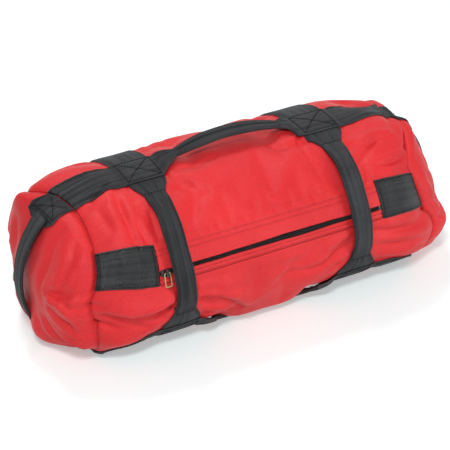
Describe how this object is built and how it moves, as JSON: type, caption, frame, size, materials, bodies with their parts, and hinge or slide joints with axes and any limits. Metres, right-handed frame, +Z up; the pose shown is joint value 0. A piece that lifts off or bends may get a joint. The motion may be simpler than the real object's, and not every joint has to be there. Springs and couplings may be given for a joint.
{
  "type": "weighted training sandbag",
  "caption": "Zipped duffel-shaped cloth bag with inner sand sacks, webbing straps all round and folded grips, lying on its side for lifting and carrying drills.",
  "frame": {"origin": "on the floor, under the middle of the bag with its grips", "axes": "+X along the bag towards its right end, -Y towards the front with the zip, +Z up"},
  "size_m": [0.5844, 0.2656, 0.2238],
  "materials": {
    "shell_cloth": "coated, semi-matte",
    "webbing": "woven, satin",
    "patch_webbing": "woven, glossy",
    "zip_tape": "woven, matte",
    "zip_coil": "matte",
    "zip_metal": "polished, pale",
    "binding": "woven, matte",
    "filler_cloth": "woven, matte",
    "sand": "granular",
    "hook_loop": "napped"
  },
  "bodies": {
    "bag": {"body_panel": "shell_cloth", "bottom_strap_left": "webbing", "bottom_strap_right": "webbing", "end_anchor_lower_left": "webbing", "end_anchor_lower_right": "webbing", "end_anchor_upper_left": "webbing", "end_anchor_upper_right": "webbing", "end_handle_left": "webbing", "end_handle_right": "webbing", "end_panel_left": "shell_cloth", "end_panel_right": "shell_cloth", "filler_sack_left": "filler_cloth", "filler_sack_right": "filler_cloth", "front_grip_left": "webbing", "front_grip_right": "webbing", "girth_strap_left": "webbing", "girth_strap_right": "webbing", "sack_closure_left": "hook_loop", "sack_closure_right": "hook_loop", "sand_fill_left": "sand", "sand_fill_right": "sand", "seam_tape_left": "binding", "seam_tape_right": "binding", "top_strap_left": "webbing", "top_strap_right": "webbing", "zip_coil": "zip_coil", "zip_end_patch_left": "patch_webbing", "zip_end_patch_right": "patch_webbing", "zip_facing_lower": "shell_cloth", "zip_flap_upper": "shell_cloth", "zip_stop_left": "zip_metal", "zip_stop_right": "zip_metal", "zip_tape_lower": "zip_tape", "zip_tape_upper": "zip_tape"},
    "zip_slider": {"zip_slider": "zip_metal"},
    "zip_pull": {"zip_pull": "zip_metal"},
    "top_handle": {"top_handle": "webbing"},
    "bottom_handle": {"bottom_handle": "webbing"}
  },
  "joints": [
    {"name": "zip_slide", "type": "slide", "parent": "bag", "child": "zip_slider", "axis": [1, 0, 0], "range_m": [0, 0.289]},
    {"name": "zip_pull_swing", "type": "hinge", "parent": "zip_slider", "child": "zip_pull", "pos_m": [-0.1445, -0.12272, 0.1342], "axis": [-1, 0, 0], "range_deg": [0, 160]},
    {"name": "top_handle_swing", "type": "hinge", "parent": "bag", "child": "top_handle", "pos_m": [0, 0.00471, 0.2091], "axis": [1, 0, 0], "range_deg": [-55, 55], "stiffness_Nm_per_rad": 0.02},
    {"name": "bottom_handle_swing", "type": "hinge", "parent": "bag", "child": "bottom_handle", "pos_m": [0, -0.09158, 0.01744], "axis": [-1, 0, 0], "range_deg": [0, 150], "stiffness_Nm_per_rad": 0.2}
  ]
}
